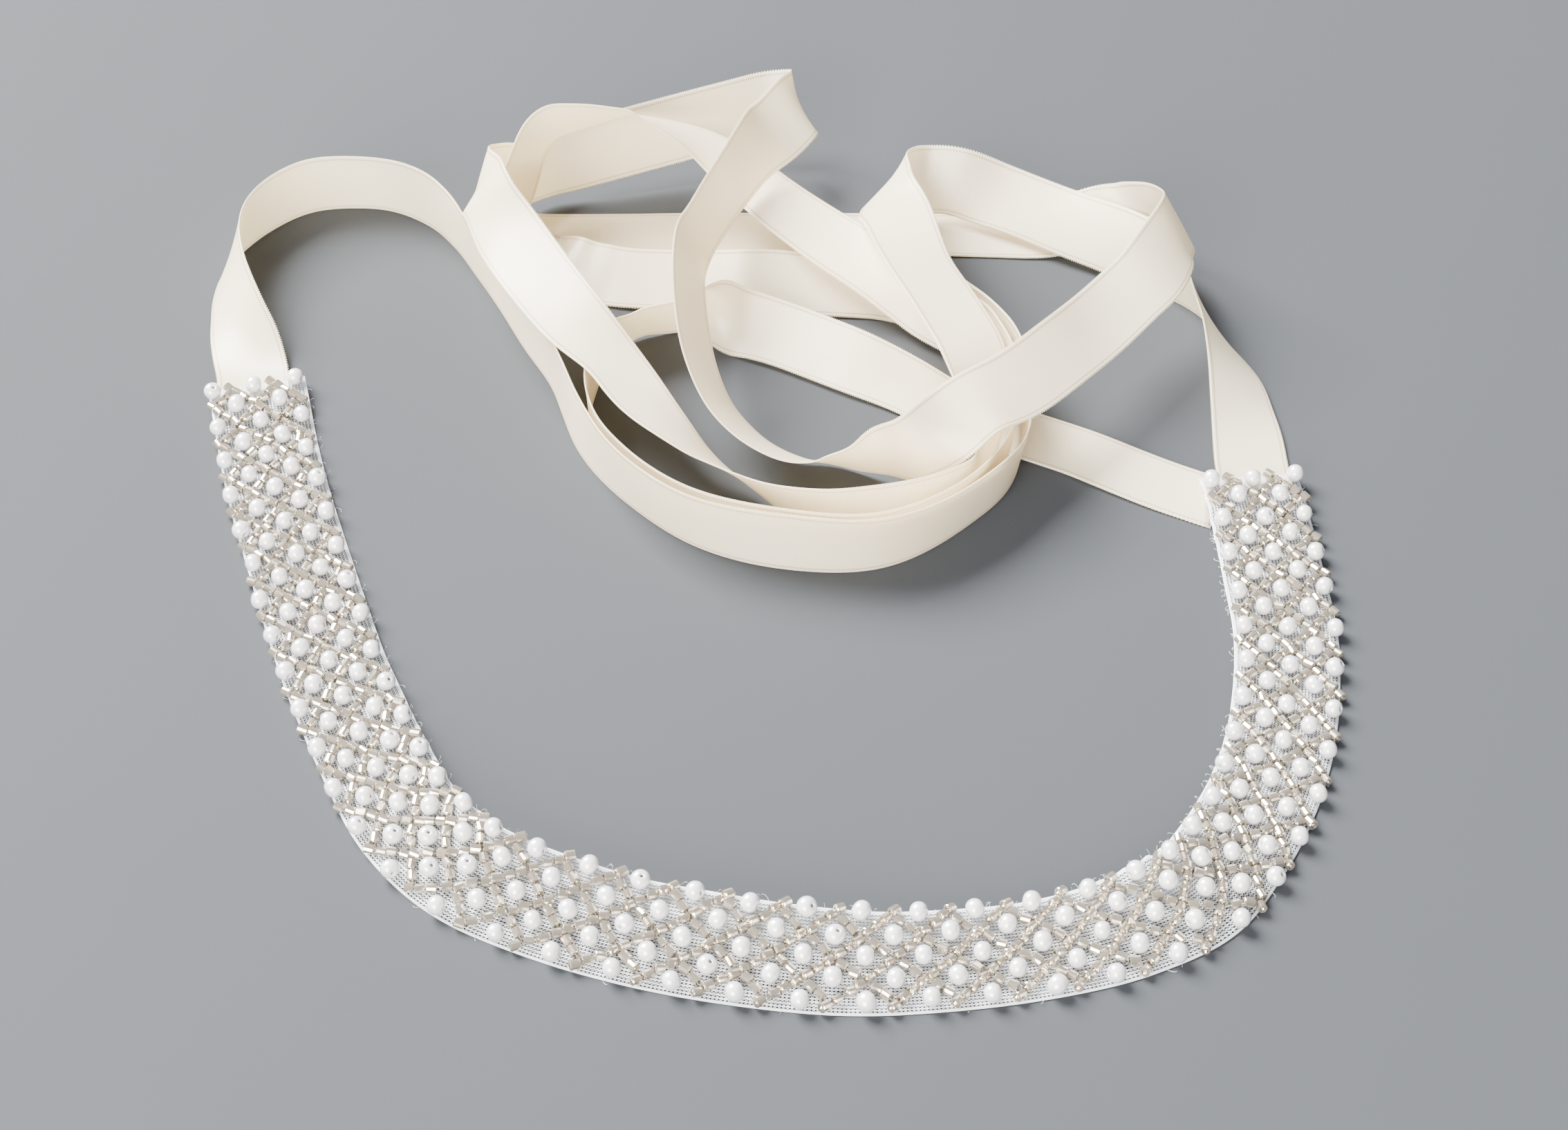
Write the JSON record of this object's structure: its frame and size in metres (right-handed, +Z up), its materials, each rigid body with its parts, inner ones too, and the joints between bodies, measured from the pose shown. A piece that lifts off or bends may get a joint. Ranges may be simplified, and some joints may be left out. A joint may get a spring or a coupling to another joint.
{
  "type": "bridal sash",
  "caption": "Narrow beaded net bridal sash in a curve, its two long satin ribbon ties heaped in loose loops on the table.",
  "frame": {"origin": "middle of the sash's outline on the table, at the table's height", "axes": "+Z up from the table, +Y away from the bottom of the band's curve towards the ties, +X to the right as seen from the band"},
  "size_m": [0.2512, 0.2792, 0.0324],
  "materials": {
    "beaded_net": "white net sewn with pearls and silver-lined tube beads",
    "satin_ribbon": "ivory satin"
  },
  "bodies": {
    "root": {"net_band": "beaded_net", "left_tie_arch": "satin_ribbon", "left_tie_front_ring": "satin_ribbon", "left_tie_low_strand": "satin_ribbon", "left_tie_back_arch": "satin_ribbon", "left_tie_cross_strand": "satin_ribbon", "left_tie_inner_ring": "satin_ribbon", "left_tie_tail": "satin_ribbon", "right_tie_start": "satin_ribbon", "right_tie_back_strand": "satin_ribbon", "right_tie_ring": "satin_ribbon", "right_tie_wide_strand": "satin_ribbon", "right_tie_high_strand": "satin_ribbon", "right_tie_drop": "satin_ribbon", "right_tie_top_strand": "satin_ribbon", "right_tie_turn": "satin_ribbon", "right_tie_end": "satin_ribbon"}
  },
  "joints": []
}
